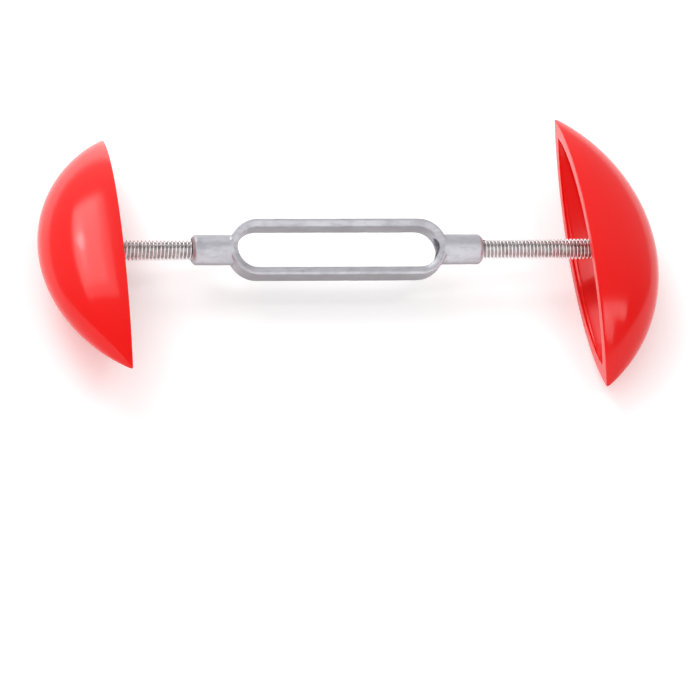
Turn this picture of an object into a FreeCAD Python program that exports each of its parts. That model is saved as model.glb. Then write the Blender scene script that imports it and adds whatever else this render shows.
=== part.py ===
import FreeCAD, Part
import math
import os

import Sketcher

# Shoe stretcher: two hollow half-moon shells on threaded rods, pushed apart by a turnbuckle frame.
# X runs along the rods, Z is up, and the origin is the middle of the frame on the rods' axis.

V = FreeCAD.Vector
doc = FreeCAD.newDocument("shoe_stretcher")

# Driving dimensions, in millimetres and degrees
driving = {
    # M4 thread of both rods
    "thread_diameter": 3.9,
    "thread_pitch": 0.7,
    "thread_depth": 0.43,
    "thread_root_flat": 0.14,
    "thread_crest_flat": 0.15,
    "rod_chamfer": 0.35,
    "frame_thread_play": 0.05,
    "nut_thread_play": 0.02,
    # cast frame: an oval loop with a round socket at each end
    "frame_length": 55.0,
    "loop_length": 41.0,
    "loop_width": 10.8,
    "loop_depth": 5.8,
    "bar_width": 1.45,
    "loop_end_wall": 1.5,
    "loop_edge_round": 0.35,
    "socket_diameter": 5.7,
    "socket_mouth_land": 0.2,
    "socket_root": 0.2,
    "loop_tilt": 28.0,
    # moulded shell
    "shell_length": 64.0,
    "shell_width": 16.0,
    "shell_depth": 14.7,
    "shell_wall": 1.6,
    "tip_depth": 0.6,
    "tip_land": 4.9,
    "cavity_tip_depth": 0.6,
    # what holds a rod in its shell, stacked up from the shell's back
    "end_wall": 1.76,
    "nut_flats": 7.0,
    "nut_height": 2.2,
    "washer_clearance": 0.55,
    "washer_bore_play": 0.4,
    "washer_thickness": 0.5,
    "washer_play": 0.02,
    "boss_diameter": 9.0,
    "boss_front": 0.9,
    "rod_end_length": 0.4,
    "rod_end_room": 0.2,
    # how far each side is wound out at rest, and how its shell lies
    "left_gap": 13.6,
    "right_gap": 19.0,
    "left_engagement": 4.8,
    "right_engagement": 6.8,
    "left_twist": -5.5,
    "right_twist": 5.5,
}

sheet = doc.addObject("Spreadsheet::Sheet", "sizes")
for row, (alias, size) in enumerate(driving.items(), start=1):
    sheet.set(f"A{row}", alias)
    sheet.set(f"B{row}", str(size))
    sheet.setAlias(f"B{row}", alias)
doc.recompute()

# Depths below a shell's rim, one after the other from the shell's back to its mouth
rod_hole_end = "(sizes.shell_depth - sizes.end_wall)"
rod_end_at = f"({rod_hole_end} - sizes.rod_end_room)"
captive_nut_at = f"({rod_end_at} - sizes.rod_end_length - sizes.nut_height)"
boss_at = f"({captive_nut_at} - sizes.boss_front)"
washer_at = f"({boss_at} - sizes.washer_play - sizes.washer_thickness)"
jam_nut_at = f"({washer_at} - sizes.washer_play - sizes.nut_height)"

# The hollow of a shell, and its half width where the washer lies on the boss
hollow_half_length = "(sizes.shell_length / 2 - sizes.tip_land)"
hollow_half_width = "(sizes.shell_width / 2 - sizes.shell_wall)"
hollow_depth = "(sizes.shell_depth - sizes.shell_wall)"
washer_room = f"({hollow_half_width} * sqrt(1 - ({boss_at} / {hollow_depth})^2))"
washer_radius = f"({washer_room} - sizes.washer_clearance)"

# The left side points to -X and the right side to +X
sides = {"left": -1, "right": 1}


def number(expression):
    """The value of an expression on the sheet's sizes."""
    return float(sheet.evalExpression(expression.replace("sizes.", "")))


def bind(thing, expressions):
    for path, expression in expressions.items():
        thing.setExpression(path, expression)


def origin_of(body, role):
    return next(item for item in body.Origin.OriginFeatures if item.Role == role)


def new_body(name):
    return doc.addObject("PartDesign::Body", name)


def new_sketch(body, name, role, offset=None):
    sketch = body.newObject("Sketcher::SketchObject", name)
    sketch.AttachmentSupport = [(origin_of(body, role), "")]
    sketch.MapMode = "FlatFace"
    if offset:
        sketch.setExpression("AttachmentOffset.Base.z", offset)
    return sketch


def hold(sketch, kind, *items):
    return sketch.addConstraint(Sketcher.Constraint(kind, *items))


def drive(sketch, kind, items, expression):
    """A dimension of the sketch that follows an expression."""
    index = hold(sketch, kind, *items, number(expression))
    sketch.setExpression(f"Constraints[{index}]", expression)


def circle(sketch, radius):
    ring = sketch.addGeometry(Part.Circle(V(), V(0, 0, 1), number(radius)), False)
    hold(sketch, "Coincident", ring, 3, -1, 1)
    drive(sketch, "Radius", [ring], radius)


def closed_outline(sketch, corners):
    """Straight edges from corner to corner, joined end to end."""
    ends = corners[1:] + corners[:1]
    edges = [sketch.addGeometry(Part.LineSegment(*pair), False) for pair in zip(corners, ends)]
    for edge, after in zip(edges, edges[1:] + edges[:1]):
        hold(sketch, "Coincident", edge, 2, after, 1)
    return edges


def hexagon(sketch, flats):
    """A regular hexagon with two corners on the sketch's level axis."""
    corner_radius = f"({flats} / sqrt(3))"
    reach = number(corner_radius)
    sixth = math.pi / 3
    corners = [V(reach * math.cos(k * sixth), reach * math.sin(k * sixth), 0) for k in range(6)]
    edges = closed_outline(sketch, corners)
    ring = sketch.addGeometry(Part.Circle(V(), V(0, 0, 1), reach), True)
    hold(sketch, "Coincident", ring, 3, -1, 1)
    for edge in edges:
        hold(sketch, "PointOnObject", edge, 1, ring)
    for edge in edges[1:]:
        hold(sketch, "Equal", edges[0], edge)
    hold(sketch, "PointOnObject", edges[0], 1, -1)
    drive(sketch, "Radius", [ring], corner_radius)


def stadium(sketch, length, width):
    """A slot outline along the sketch's level axis, centred on the origin."""
    radius = number(width) / 2
    middle = number(length) / 2 - radius
    quarter = math.pi / 2
    left_circle = Part.Circle(V(-middle, 0, 0), V(0, 0, 1), radius)
    right_circle = Part.Circle(V(middle, 0, 0), V(0, 0, 1), radius)
    left = sketch.addGeometry(Part.ArcOfCircle(left_circle, quarter, 3 * quarter))
    right = sketch.addGeometry(Part.ArcOfCircle(right_circle, -quarter, quarter))
    low = sketch.addGeometry(Part.LineSegment(V(-middle, -radius, 0), V(middle, -radius, 0)))
    high = sketch.addGeometry(Part.LineSegment(V(middle, radius, 0), V(-middle, radius, 0)))
    hold(sketch, "Tangent", left, 2, low, 1)
    hold(sketch, "Tangent", low, 2, right, 1)
    hold(sketch, "Tangent", right, 2, high, 1)
    hold(sketch, "Tangent", high, 2, left, 1)
    hold(sketch, "Symmetric", left, 3, right, 3, -1, 1)
    hold(sketch, "PointOnObject", left, 3, -1)
    drive(sketch, "Radius", [left], f"({width}) / 2")
    drive(sketch, "DistanceX", [left, 3, right, 3], f"({length}) - ({width})")


def pad(body, name, sketch, length, both_ways=False):
    feature = body.newObject("PartDesign::Pad", name)
    feature.Profile = sketch
    if both_ways:
        feature.SideType = "Symmetric"
    feature.setExpression("Length", length)
    return feature


def cut_through(body, name, sketch):
    feature = body.newObject("PartDesign::Pocket", name)
    feature.Profile = sketch
    feature.SideType = "Symmetric"
    feature.Type = "ThroughAll"
    return feature


def edges_where(feature, wanted):
    doc.recompute()
    return [f"Edge{k}" for k, edge in enumerate(feature.Shape.Edges, start=1) if wanted(edge)]


def dress(body, name, kind, base, edges, size):
    """A fillet or a chamfer on some edges of the feature before it."""
    feature = body.newObject(f"PartDesign::{kind}", name)
    feature.Base = (base, edges)
    feature.setExpression("Radius" if kind == "Fillet" else "Size", size)
    return feature


def end_circles(feature, places, radius):
    """The circles of that radius about the X axis that lie at the given places on it."""

    def wanted(edge):
        if not isinstance(edge.Curve, Part.Circle) or abs(edge.Curve.Radius - radius) > 1e-6:
            return False
        return any(abs(edge.Curve.Center.x - x) < 1e-6 for x in places)

    return edges_where(feature, wanted)


def turn_and_place(thing, x, twist=None):
    """Puts a finished piece at x on the rods' axis, turned about that axis."""
    thing.Placement = FreeCAD.Placement(V(), FreeCAD.Rotation(V(1, 0, 0), 1))
    thing.setExpression("Placement.Base.x", x)
    thing.setExpression("Placement.Rotation.Angle", twist or "0")


def rim_x(side):
    return f"({sides[side]} * (sizes.frame_length / 2 + sizes.{side}_gap))"


def low_end(side, depth, thickness):
    """The least x of a piece that starts at a depth below the side's rim."""
    if side == "left":
        return f"{rim_x(side)} - {depth} - {thickness}"
    return f"{rim_x(side)} + {depth}"


# Cast frame
def make_frame():
    body = new_body("frame")
    outline = new_sketch(body, "loop_outline", "XY_Plane")
    stadium(outline, "sizes.loop_length", "sizes.loop_width")
    pad(body, "loop", outline, "sizes.loop_depth", both_ways=True)
    slot_outline = new_sketch(body, "slot_outline", "XY_Plane")
    slot_length = "(sizes.loop_length - 2 * sizes.loop_end_wall)"
    stadium(slot_outline, slot_length, "sizes.loop_width - 2 * sizes.bar_width")
    slot = cut_through(body, "slot", slot_outline)

    # the loop's faces meet its walls in a cast radius
    half_depth = number("sizes.loop_depth / 2")
    rims = edges_where(slot, lambda edge: abs(abs(edge.CenterOfMass.z) - half_depth) < 1e-6)
    dress(body, "loop_edges", "Fillet", slot, rims, "sizes.loop_edge_round")

    # each socket starts inside the loop's end wall
    root = f"({slot_length} / 2 + sizes.socket_root)"
    for side, sign in sides.items():
        start = root if sign > 0 else "-sizes.frame_length / 2"
        round_outline = new_sketch(body, f"{side}_socket_outline", "YZ_Plane", start)
        circle(round_outline, "sizes.socket_diameter / 2")
        pad(body, f"{side}_socket", round_outline, f"sizes.frame_length / 2 - {root}")
    bore_radius = "(sizes.thread_diameter / 2 + sizes.frame_thread_play)"
    bore_outline = new_sketch(body, "bore_outline", "YZ_Plane")
    circle(bore_outline, bore_radius)
    bore = cut_through(body, "bore", bore_outline)

    # each mouth is coned off until only a narrow land is left round the bore
    half_length = number("sizes.frame_length / 2")
    radius = number("sizes.socket_diameter / 2")
    mouths = end_circles(bore, (-half_length, half_length), radius)
    cone = f"sizes.socket_diameter / 2 - {bore_radius} - sizes.socket_mouth_land"
    body.Tip = dress(body, "socket_mouths", "Chamfer", bore, mouths, cone)
    turn_and_place(body, "0", "sizes.loop_tilt")
    return body


# Threaded rods
def make_rod(side):
    body = new_body(f"{side}_rod")
    length = f"(sizes.{side}_gap + sizes.{side}_engagement + {rod_end_at})"
    section = new_sketch(body, f"{side}_rod_section", "YZ_Plane")
    circle(section, "sizes.thread_diameter / 2")
    blank = pad(body, f"{side}_rod_blank", section, length)

    rims = end_circles(blank, (0, number(length)), number("sizes.thread_diameter / 2"))
    dress(body, f"{side}_rod_ends", "Chamfer", blank, rims, "sizes.rod_chamfer")

    # one helical groove, begun a turn before the rod and ended a turn after it
    groove = new_sketch(body, f"{side}_groove", "XZ_Plane")
    groove_outline(groove)
    thread = body.newObject("PartDesign::SubtractiveHelix", f"{side}_thread")
    thread.Profile = groove
    thread.ReferenceAxis = (origin_of(body, "X_Axis"), [""])
    thread.Mode = "pitch-height-angle"
    thread.LeftHanded = side == "left"
    bind(thread, {"Pitch": "sizes.thread_pitch", "Height": f"{length} + 2 * sizes.thread_pitch"})
    body.Tip = thread

    inner_end = f"{sides[side]} * (sizes.frame_length / 2 - sizes.{side}_engagement)"
    turn_and_place(body, f"{inner_end} - {length}" if side == "left" else inner_end, f"sizes.{side}_twist")
    return body


def groove_outline(sketch):
    """The thread's groove: narrow at the root, and open a little above the crest."""
    root = "(sizes.thread_diameter / 2 - sizes.thread_depth)"
    flank = "((sizes.thread_pitch - sizes.thread_crest_flat - sizes.thread_root_flat) / 2)"
    above = "(sizes.thread_crest_flat / 4)"
    top = f"(sizes.thread_diameter / 2 + {above})"
    half_root = "(sizes.thread_root_flat / 2)"
    half_top = f"({half_root} + {flank} * (1 + {above} / sizes.thread_depth))"
    start = -number("sizes.thread_pitch")
    corners = [
        V(start - number(half_top), number(top), 0),
        V(start - number(half_root), number(root), 0),
        V(start + number(half_root), number(root), 0),
        V(start + number(half_top), number(top), 0),
    ]
    edges = closed_outline(sketch, corners)
    hold(sketch, "Horizontal", edges[1])
    hold(sketch, "Horizontal", edges[3])
    drive(sketch, "DistanceX", [edges[1], 1, -1, 1], f"sizes.thread_pitch + {half_root}")
    drive(sketch, "DistanceX", [edges[1], 2, -1, 1], f"sizes.thread_pitch - {half_root}")
    drive(sketch, "DistanceX", [edges[3], 2, -1, 1], f"sizes.thread_pitch + {half_top}")
    drive(sketch, "DistanceX", [edges[3], 1, -1, 1], f"sizes.thread_pitch - {half_top}")
    drive(sketch, "DistanceY", [-1, 1, edges[1], 1], root)
    drive(sketch, "DistanceY", [-1, 1, edges[3], 1], top)


# Moulded shells
def half_moon(name, sign, half_length, half_width, depth, tip):
    """Half a lemon, narrowed across its width: an arc turned half round about the long axis."""
    body = new_body(f"{name}_turned")
    sketch = new_sketch(body, f"{name}_outline", "XY_Plane")
    moon_outline(sketch, sign, half_length, depth, tip)
    turned = body.newObject("PartDesign::Revolution", f"{name}_half")
    turned.Profile = sketch
    turned.ReferenceAxis = (origin_of(body, "Y_Axis"), [""])
    turned.Angle = 180
    turned.Midplane = True
    body.Tip = turned
    narrowed = doc.addObject("Part::Scale", name)
    narrowed.Base = body
    narrowed.Uniform = False
    narrowed.setExpression("ZScale", f"({half_width}) / ({depth})")
    return narrowed


def moon_outline(sketch, sign, half_length, depth, tip):
    """One large arc over the long axis, cut off square at both tips."""
    reach, sag, tip_depth = number(half_length), sign * number(depth), sign * number(tip)
    low_tip, high_tip = V(tip_depth, -reach, 0), V(tip_depth, reach, 0)
    back = sketch.addGeometry(Part.Arc(low_tip, V(sag, 0, 0), high_tip), False)
    starts_low = sketch.getPoint(back, 1).y < 0
    low_end, high_end = (1, 2) if starts_low else (2, 1)

    def line(start, end):
        return sketch.addGeometry(Part.LineSegment(start, end), False)

    low = line(low_tip, V(0, -reach, 0))
    chord = line(V(0, -reach, 0), V(0, reach, 0))
    high = line(V(0, reach, 0), high_tip)
    deepest = sketch.addGeometry(Part.Point(V(sag, 0, 0)), True)
    hold(sketch, "Coincident", back, low_end, low, 1)
    hold(sketch, "Coincident", low, 2, chord, 1)
    hold(sketch, "Coincident", chord, 2, high, 1)
    hold(sketch, "Coincident", high, 2, back, high_end)
    hold(sketch, "Horizontal", low)
    hold(sketch, "Horizontal", high)
    hold(sketch, "PointOnObject", chord, 1, -2)
    hold(sketch, "PointOnObject", chord, 2, -2)
    hold(sketch, "PointOnObject", deepest, 1, back)
    hold(sketch, "PointOnObject", deepest, 1, -1)
    hold(sketch, "PointOnObject", back, 3, -1)
    drive(sketch, "DistanceY", [-1, 1, chord, 2], half_length)
    for item, end, size in ((high, 2, tip), (deepest, 1, depth)):
        span = [item, end, -1, 1] if sign < 0 else [-1, 1, item, end]
        drive(sketch, "DistanceX", span, size)


def axial_body(name, outline, size, start, length):
    """A tool along X: an outline on the YZ plane, padded from start."""
    body = new_body(name)
    sketch = new_sketch(body, f"{name}_outline", "YZ_Plane", start)
    outline(sketch, size)
    body.Tip = pad(body, f"{name}_pad", sketch, length)
    return body


def less(name, base, tool):
    cut = doc.addObject("Part::Cut", name)
    cut.Base = base
    cut.Tool = tool
    return cut


def make_shell(side):
    sign = sides[side]

    def from_rim(depth, length):
        return depth if sign > 0 else f"-({depth}) - ({length})"

    outer = half_moon(
        f"{side}_outer",
        sign,
        "sizes.shell_length / 2",
        "sizes.shell_width / 2",
        "sizes.shell_depth",
        "sizes.tip_depth",
    )
    inner = half_moon(
        f"{side}_inner", sign, hollow_half_length, hollow_half_width, hollow_depth, "sizes.cavity_tip_depth"
    )
    boss_length = f"(sizes.shell_depth - {boss_at})"
    boss = axial_body(
        f"{side}_boss", circle, "sizes.boss_diameter / 2", from_rim(boss_at, boss_length), boss_length
    )
    rod_hole = axial_body(
        f"{side}_rod_hole",
        circle,
        "sizes.thread_diameter / 2 + sizes.nut_thread_play",
        from_rim("0", rod_hole_end),
        rod_hole_end,
    )
    nut_room = axial_body(
        f"{side}_nut_room",
        hexagon,
        "sizes.nut_flats",
        from_rim(captive_nut_at, "sizes.nut_height"),
        "sizes.nut_height",
    )
    hollow = less(f"{side}_hollow", inner, boss)
    cup = less(f"{side}_cup", outer, hollow)
    drilled = less(f"{side}_drilled", cup, rod_hole)
    shell = less(f"{side}_shell", drilled, nut_room)
    turn_and_place(shell, rim_x(side), f"sizes.{side}_twist")
    return shell


# Nuts and washers on the rods
def make_ring(name, side, outline, size, bore, depth, thickness):
    body = new_body(name)
    sketch = new_sketch(body, f"{name}_section", "YZ_Plane")
    outline(sketch, size)
    circle(sketch, bore)
    body.Tip = pad(body, f"{name}_pad", sketch, thickness)
    turn_and_place(body, low_end(side, depth, thickness), f"sizes.{side}_twist")
    return body


def make_hardware(side):
    nut_bore = "sizes.thread_diameter / 2 + sizes.nut_thread_play"
    nut = (side, hexagon, "sizes.nut_flats", nut_bore)
    washer_bore = "(sizes.thread_diameter + sizes.washer_bore_play) / 2"
    washer = (side, circle, washer_radius, washer_bore)
    return [
        make_ring(f"{side}_captive_nut", *nut, captive_nut_at, "sizes.nut_height"),
        make_ring(f"{side}_jam_nut", *nut, jam_nut_at, "sizes.nut_height"),
        make_ring(f"{side}_washer", *washer, washer_at, "sizes.washer_thickness"),
    ]


subparts = [make_frame()]
for side in sides:
    subparts.append(make_shell(side))
    subparts.append(make_rod(side))
    subparts.extend(make_hardware(side))
doc.recompute()

failed = [item.Name for item in doc.Objects if "Invalid" in item.State or "Error" in item.State]
failed += [item.Label for item in subparts if item.Shape.isNull() or not item.Shape.isValid()]
failed += [item.Label for item in subparts if len(item.Shape.Solids) != 1]
if failed:
    raise RuntimeError(f"not built: {failed}")

os.makedirs("parts", exist_ok=True)
for item in subparts:
    item.Shape.exportStep(f"parts/{item.Label}.step")
    print(f"{item.Label}: {item.Shape.Volume:.1f} mm3")
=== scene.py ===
import math

import bpy
from mathutils import Matrix, Vector


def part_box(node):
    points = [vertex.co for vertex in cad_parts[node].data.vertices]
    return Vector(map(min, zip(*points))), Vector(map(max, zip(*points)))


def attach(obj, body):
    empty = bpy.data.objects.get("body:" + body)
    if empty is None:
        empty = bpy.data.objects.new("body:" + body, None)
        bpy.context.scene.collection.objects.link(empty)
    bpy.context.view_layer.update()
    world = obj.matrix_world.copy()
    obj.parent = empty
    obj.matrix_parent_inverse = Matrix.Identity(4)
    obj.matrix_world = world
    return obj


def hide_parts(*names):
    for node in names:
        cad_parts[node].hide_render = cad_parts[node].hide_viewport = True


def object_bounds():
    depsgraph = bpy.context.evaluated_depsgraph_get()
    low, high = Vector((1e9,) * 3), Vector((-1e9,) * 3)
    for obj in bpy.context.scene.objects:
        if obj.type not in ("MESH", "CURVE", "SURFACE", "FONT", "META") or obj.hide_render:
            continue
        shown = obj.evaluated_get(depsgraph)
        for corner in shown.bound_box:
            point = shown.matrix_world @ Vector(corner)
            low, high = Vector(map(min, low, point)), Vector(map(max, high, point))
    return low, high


# Shoe stretcher: two red half-moon shells on threaded rods, pushed apart by a cast turnbuckle frame.
# Sizes in the dictionaries are millimetres and degrees, and the scene is in metres.

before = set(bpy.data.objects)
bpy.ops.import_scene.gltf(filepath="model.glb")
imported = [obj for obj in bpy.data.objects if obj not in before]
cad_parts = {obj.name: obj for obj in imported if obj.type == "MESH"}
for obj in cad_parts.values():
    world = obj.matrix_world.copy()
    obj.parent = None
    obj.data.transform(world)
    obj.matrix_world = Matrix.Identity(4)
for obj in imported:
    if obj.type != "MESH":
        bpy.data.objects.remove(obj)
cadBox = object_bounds()
scene = bpy.context.scene
mm = 0.001
tau = 2 * math.pi
rightAngle = math.pi / 2
print("frame loaded:", len(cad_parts), "pieces")


def toLinear(hexColour):
    channels = [int(hexColour[k:k + 2], 16) / 255 for k in (1, 3, 5)]
    linear = [c / 12.92 if c <= 0.04045 else ((c + 0.055) / 1.055) ** 2.4 for c in channels]
    return (*linear, 1.0)


# adds one node: an input is a number or colour, a socket, or a node whose first output is meant
def addNode(tree, kind, inputs=None, **settings):
    node = tree.nodes.new(kind)
    for name, value in settings.items():
        setattr(node, name, value)
    for key, value in (inputs or {}).items():
        if isinstance(value, bpy.types.Node):
            value = value.outputs[0]
        if isinstance(value, bpy.types.NodeSocket):
            tree.links.new(value, node.inputs[key])
        else:
            node.inputs[key].default_value = value
    return node


# a Mix node has its sockets three times over, for numbers, for vectors and for colours
numberA, numberB = 2, 3
vectorA, vectorB, vectorOut = 4, 5, 1
colourA, colourB, colourOut = 6, 7, 2


def newMaterial(name):
    material = bpy.data.materials.new(name)
    material.use_nodes = True
    material.node_tree.nodes.clear()
    return material, material.node_tree


# a tree with named size inputs, handed back with its input node
def newTree(name, sizeNames, countNames=()):
    tree = bpy.data.node_groups.new(name, "GeometryNodeTree")
    tree.interface.new_socket("Mesh", in_out="OUTPUT", socket_type="NodeSocketGeometry")
    for sizeName in sizeNames:
        tree.interface.new_socket(sizeName, in_out="INPUT", socket_type="NodeSocketFloat")
    for countName in countNames:
        tree.interface.new_socket(countName, in_out="INPUT", socket_type="NodeSocketInt")
    tree.interface.new_socket("Finish", in_out="INPUT", socket_type="NodeSocketMaterial")
    return tree, addNode(tree, "NodeGroupInput").outputs


# closes a tree: instances are made real and the finish is set
def endTree(tree, mesh, finish):
    real = addNode(tree, "GeometryNodeRealizeInstances", {0: mesh})
    dressed = addNode(tree, "GeometryNodeSetMaterial", {"Geometry": real, "Material": finish})
    addNode(tree, "NodeGroupOutput", {0: dressed})


def useTree(piece, tree, values):
    modifier = piece.modifiers.new(tree.name, "NODES")
    modifier.node_group = tree
    for socket in tree.interface.items_tree:
        if socket.in_out == "INPUT" and socket.name in values:
            modifier[socket.identifier] = values[socket.name]


def newPiece(name):
    piece = bpy.data.objects.new(name, bpy.data.meshes.new(name))
    scene.collection.objects.link(piece)
    return piece


# turns the modifiers' result into a plain mesh, and hangs the piece on its body
def settle(piece, body, node, sharpFrom):
    bpy.context.view_layer.update()
    shaped = piece.evaluated_get(bpy.context.evaluated_depsgraph_get())
    mesh = bpy.data.meshes.new_from_object(shaped)
    piece.modifiers.clear()
    piece.data = mesh
    mesh.name = piece.name
    mesh.shade_smooth()
    mesh.set_sharp_from_angle(angle=math.radians(sharpFrom))
    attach(piece, body)
    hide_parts(node)
    mesh.calc_loop_triangles()
    print(piece.name, "made:", len(mesh.loop_triangles), "triangles")


# Injection-moulded polystyrene in red: deep even colour under a clear gloss, with the faint
# clouding and soft waviness that a moulded skin shows where a light slides over it
redMoulding = {
    "colour": "#F41613",
    "cloudColour": "#EB1210",
    "cloudSize": 16.0,     # mm, tone drifts across the skin
    "waveSize": 7.0,       # mm, sink and flow of the moulded wall
    "waveHeight": 0.010,
    "grainSize": 0.35,     # mm, drawn coarser than the real mould's polish so that it shows
    "grainHeight": 0.0006,
    "gloss": (0.11, 0.17),  # roughness, from polished to handled
    "glossSpan": (0.35, 0.7),  # clouding, from 0 to 1, where each is reached
    "ior": 1.55,
    "shine": 0.30,         # specular level
    "glow": 0.25,          # light that goes a little way into the wall
    "glowDepth": 1.2,      # mm
    "glowReach": (1.0, 0.25, 0.2),  # of red, green and blue light, in depths
}


def makeRedMoulding(look):
    material, tree = newMaterial("redMouldedPolystyrene")
    place = addNode(tree, "ShaderNodeTexCoord").outputs["Object"]
    cloud = addNode(tree, "ShaderNodeTexNoise", {
        "Vector": place, "Scale": 1 / (look["cloudSize"] * mm), "Detail": 3.0, "Roughness": 0.55})
    tone = addNode(tree, "ShaderNodeMix", {
        "Factor": cloud.outputs["Fac"], colourA: toLinear(look["colour"]),
        colourB: toLinear(look["cloudColour"])}, data_type="RGBA")
    handled = addNode(tree, "ShaderNodeMapRange", {
        "Value": cloud.outputs["Fac"], "From Min": look["glossSpan"][0], "From Max": look["glossSpan"][1],
        "To Min": look["gloss"][0], "To Max": look["gloss"][1]})
    wave = addNode(tree, "ShaderNodeTexNoise", {
        "Vector": place, "Scale": 1 / (look["waveSize"] * mm), "Detail": 1.0})
    grain = addNode(tree, "ShaderNodeTexNoise", {
        "Vector": place, "Scale": 1 / (look["grainSize"] * mm), "Detail": 2.0})
    waved = addNode(tree, "ShaderNodeBump", {
        "Height": wave.outputs["Fac"], "Strength": 1.0, "Distance": look["waveHeight"] * mm})
    skin = addNode(tree, "ShaderNodeBump", {
        "Height": grain.outputs["Fac"], "Strength": 1.0, "Normal": waved,
        "Distance": look["grainHeight"] * mm})
    shader = addNode(tree, "ShaderNodeBsdfPrincipled", {
        "Base Color": tone.outputs[colourOut], "IOR": look["ior"], "Roughness": handled, "Normal": skin,
        "Specular IOR Level": look["shine"], "Subsurface Weight": look["glow"],
        "Subsurface Radius": look["glowReach"], "Subsurface Scale": look["glowDepth"] * mm})
    addNode(tree, "ShaderNodeOutputMaterial", {"Surface": shader})
    return material


# Die-cast zinc alloy, tumbled and left bare: pale bluish grey with dull clouds, darker chill
# streaks and fine pits, and a painted shade that makes it greyer on the underside
castZinc = {
    "colour": "#CBCBD1",
    "dullColour": "#C0BFC5",
    "stainColour": "#A09DA2",
    "stainShare": 0.42,
    # painted shade: a greyer colour on faces that look down, in place of the darker floor they mirror
    "paintedShadeColour": "#A3A0A4",  # faces that look down at the bench
    "paintedShadeSpan": (-0.1, -0.5),  # upward part of the normal where this starts and is full
    "cloudSize": 4.5,      # mm
    "cloudSpan": (0.42, 0.68),  # each span: noise, from 0 to 1, where the pattern starts and is full
    "chillSize": 0.7,      # mm, across the streaks that run along the frame
    "chillStretch": 3.0,
    "chillSpan": (0.5, 0.72),
    "pitSize": 0.45,       # mm
    "pitDepth": 0.02,
    "pitSpan": (0.05, 0.4),
    "skinSize": 0.16,      # mm, drawn coarser than the real cast grain so that it shows
    "skinHeight": 0.006,
    "gloss": (0.44, 0.62),
    "glossSpan": (0.3, 0.75),
}


def makeCastZinc(look):
    material, tree = newMaterial("dieCastZinc")
    place = addNode(tree, "ShaderNodeTexCoord").outputs["Object"]
    cloud = addNode(tree, "ShaderNodeTexNoise", {
        "Vector": place, "Scale": 1 / (look["cloudSize"] * mm), "Detail": 5.0, "Roughness": 0.6})
    drawn = addNode(tree, "ShaderNodeMapping", {
        "Vector": place, "Scale": (1 / look["chillStretch"], 1, 1)})
    chill = addNode(tree, "ShaderNodeTexNoise", {
        "Vector": drawn, "Scale": 1 / (look["chillSize"] * mm), "Detail": 3.0, "Roughness": 0.5})
    chillMask = addNode(tree, "ShaderNodeMapRange", {
        "Value": chill.outputs["Fac"], "From Min": look["chillSpan"][0],
        "From Max": look["chillSpan"][1]})
    cloudMask = addNode(tree, "ShaderNodeMapRange", {
        "Value": cloud.outputs["Fac"], "From Min": look["cloudSpan"][0],
        "From Max": look["cloudSpan"][1]})
    dull = addNode(tree, "ShaderNodeMix", {
        "Factor": cloudMask, colourA: toLinear(look["colour"]),
        colourB: toLinear(look["dullColour"])}, data_type="RGBA")
    stain = addNode(tree, "ShaderNodeMath", {0: chillMask, 1: look["stainShare"]}, operation="MULTIPLY")
    stained = addNode(tree, "ShaderNodeMix", {
        "Factor": stain, colourA: dull.outputs[colourOut],
        colourB: toLinear(look["stainColour"])}, data_type="RGBA")
    pointing = addNode(tree, "ShaderNodeSeparateXYZ", {
        0: addNode(tree, "ShaderNodeTexCoord").outputs["Normal"]})
    # painted shade: greyer where the face points down, standing in for the shadowed floor it mirrors
    under = addNode(tree, "ShaderNodeMapRange", {
        "Value": pointing.outputs[2], "From Min": look["paintedShadeSpan"][0], "From Max": look["paintedShadeSpan"][1]})
    tone = addNode(tree, "ShaderNodeMix", {
        "Factor": under, colourA: stained.outputs[colourOut],
        colourB: toLinear(look["paintedShadeColour"])}, data_type="RGBA")
    gloss = addNode(tree, "ShaderNodeMapRange", {
        "Value": cloud.outputs["Fac"], "From Min": look["glossSpan"][0], "From Max": look["glossSpan"][1],
        "To Min": look["gloss"][0], "To Max": look["gloss"][1]})
    pits = addNode(tree, "ShaderNodeTexVoronoi", {"Vector": place, "Scale": 1 / (look["pitSize"] * mm)})
    pitMask = addNode(tree, "ShaderNodeMapRange", {
        "Value": pits.outputs["Distance"], "From Min": look["pitSpan"][0],
        "From Max": look["pitSpan"][1]}, interpolation_type="SMOOTHSTEP")
    grain = addNode(tree, "ShaderNodeTexNoise", {
        "Vector": place, "Scale": 1 / (look["skinSize"] * mm), "Detail": 3.0})
    pitted = addNode(tree, "ShaderNodeBump", {
        "Height": pitMask, "Strength": 1.0, "Distance": look["pitDepth"] * mm})
    skin = addNode(tree, "ShaderNodeBump", {
        "Height": grain.outputs["Fac"], "Strength": 1.0, "Normal": pitted,
        "Distance": look["skinHeight"] * mm})
    shader = addNode(tree, "ShaderNodeBsdfPrincipled", {
        "Base Color": tone.outputs[colourOut], "Metallic": 1.0, "Roughness": gloss, "Normal": skin})
    addNode(tree, "ShaderNodeOutputMaterial", {"Surface": shader})
    return material


# Rolled steel with bright zinc plating: crests polished by use, and a colour that turns
# brownish and darker towards the bottom of the thread
platedSteel = {
    "colour": "#EFEEEF",
    "grooveDarkColour": "#5E504A",
    "clearColour": "#EAE7E8",  # the plating's other tone
    "grooveDarkShare": (0.35, 0.85),  # how dark the bottom of a groove gets
    "mottleSize": 1.4,       # mm
    "mottleSpan": (0.3, 0.7),  # noise, from 0 to 1, that gives the least and the most darkening and roughness
    "grooveDarkLow": 2.0,        # higher keeps it nearer to the bottom of the groove
    "grainSize": 0.12,     # mm
    "grainHeight": 0.003,
    "gloss": (0.07, 0.16),
}


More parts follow.
